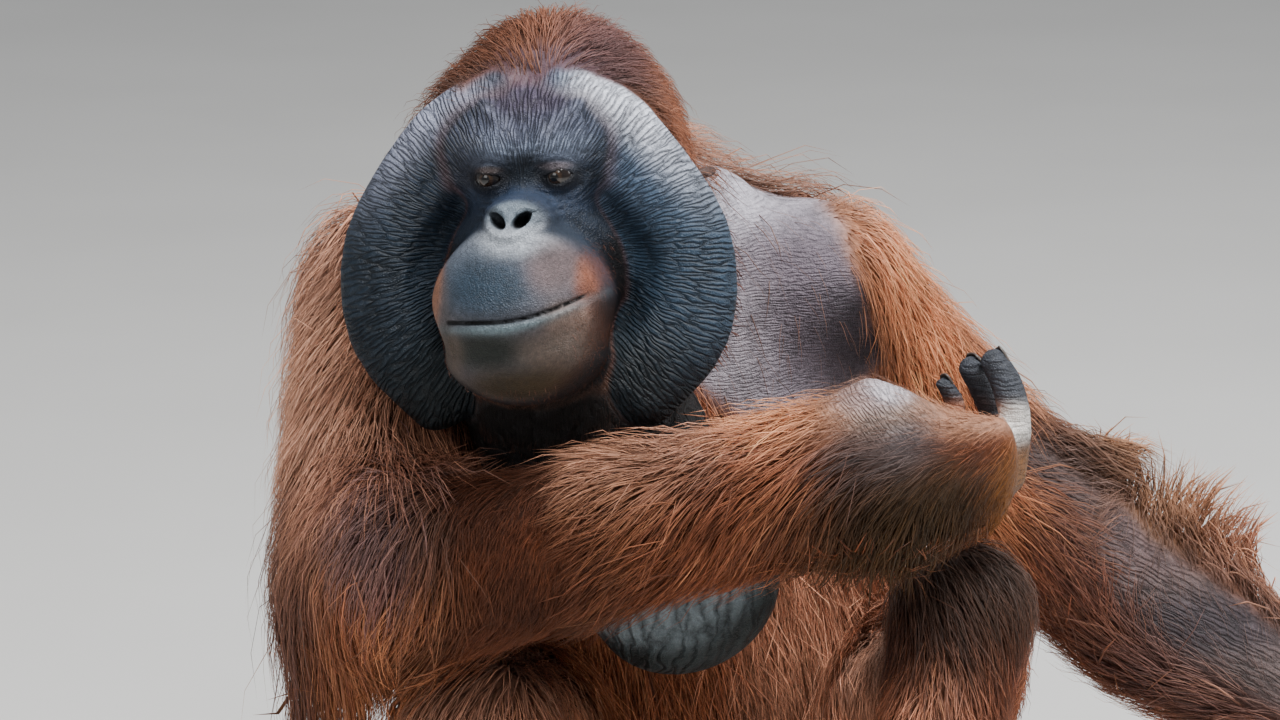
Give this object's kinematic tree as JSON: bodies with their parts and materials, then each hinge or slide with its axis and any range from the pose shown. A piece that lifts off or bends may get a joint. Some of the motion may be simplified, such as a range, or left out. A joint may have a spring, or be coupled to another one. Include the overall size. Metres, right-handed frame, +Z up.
{
  "type": "adult flanged male orangutan, life-size still model",
  "caption": "Sitting adult flanged male orangutan, forearm laid across the raised knees, other arm propped on the ground, cheek pads and throat pouch.",
  "frame": {"origin": "on the floor, under the middle of the whole animal", "axes": "+Z up, the animal faces -Y and a little to -X, its propped left arm reaches to +X"},
  "size_m": [1.0938, 0.8434, 0.7372],
  "materials": {
    "eye": "wet brown eyeball with a dark pupil",
    "bare_skin": "slate-grey wrinkled skin with a dull sheen",
    "coat": "long red-brown to orange hair over grey skin"
  },
  "bodies": {
    "root": {"eye_right": "eye", "eye_left": "eye", "head": "bare_skin", "cheek_pad_right": "bare_skin", "cheek_pad_left": "bare_skin", "ear_right": "bare_skin", "ear_left": "bare_skin", "throat_pouch": "bare_skin", "hand_right": "bare_skin", "hand_left": "bare_skin", "foot_right": "bare_skin", "foot_left": "bare_skin", "trunk": "coat", "neck": "coat", "upper_arm_right": "coat", "upper_arm_left": "coat", "forearm_right": "coat", "forearm_left": "coat", "thigh_right": "coat", "thigh_left": "coat", "shin_right": "coat", "shin_left": "coat"}
  },
  "joints": []
}
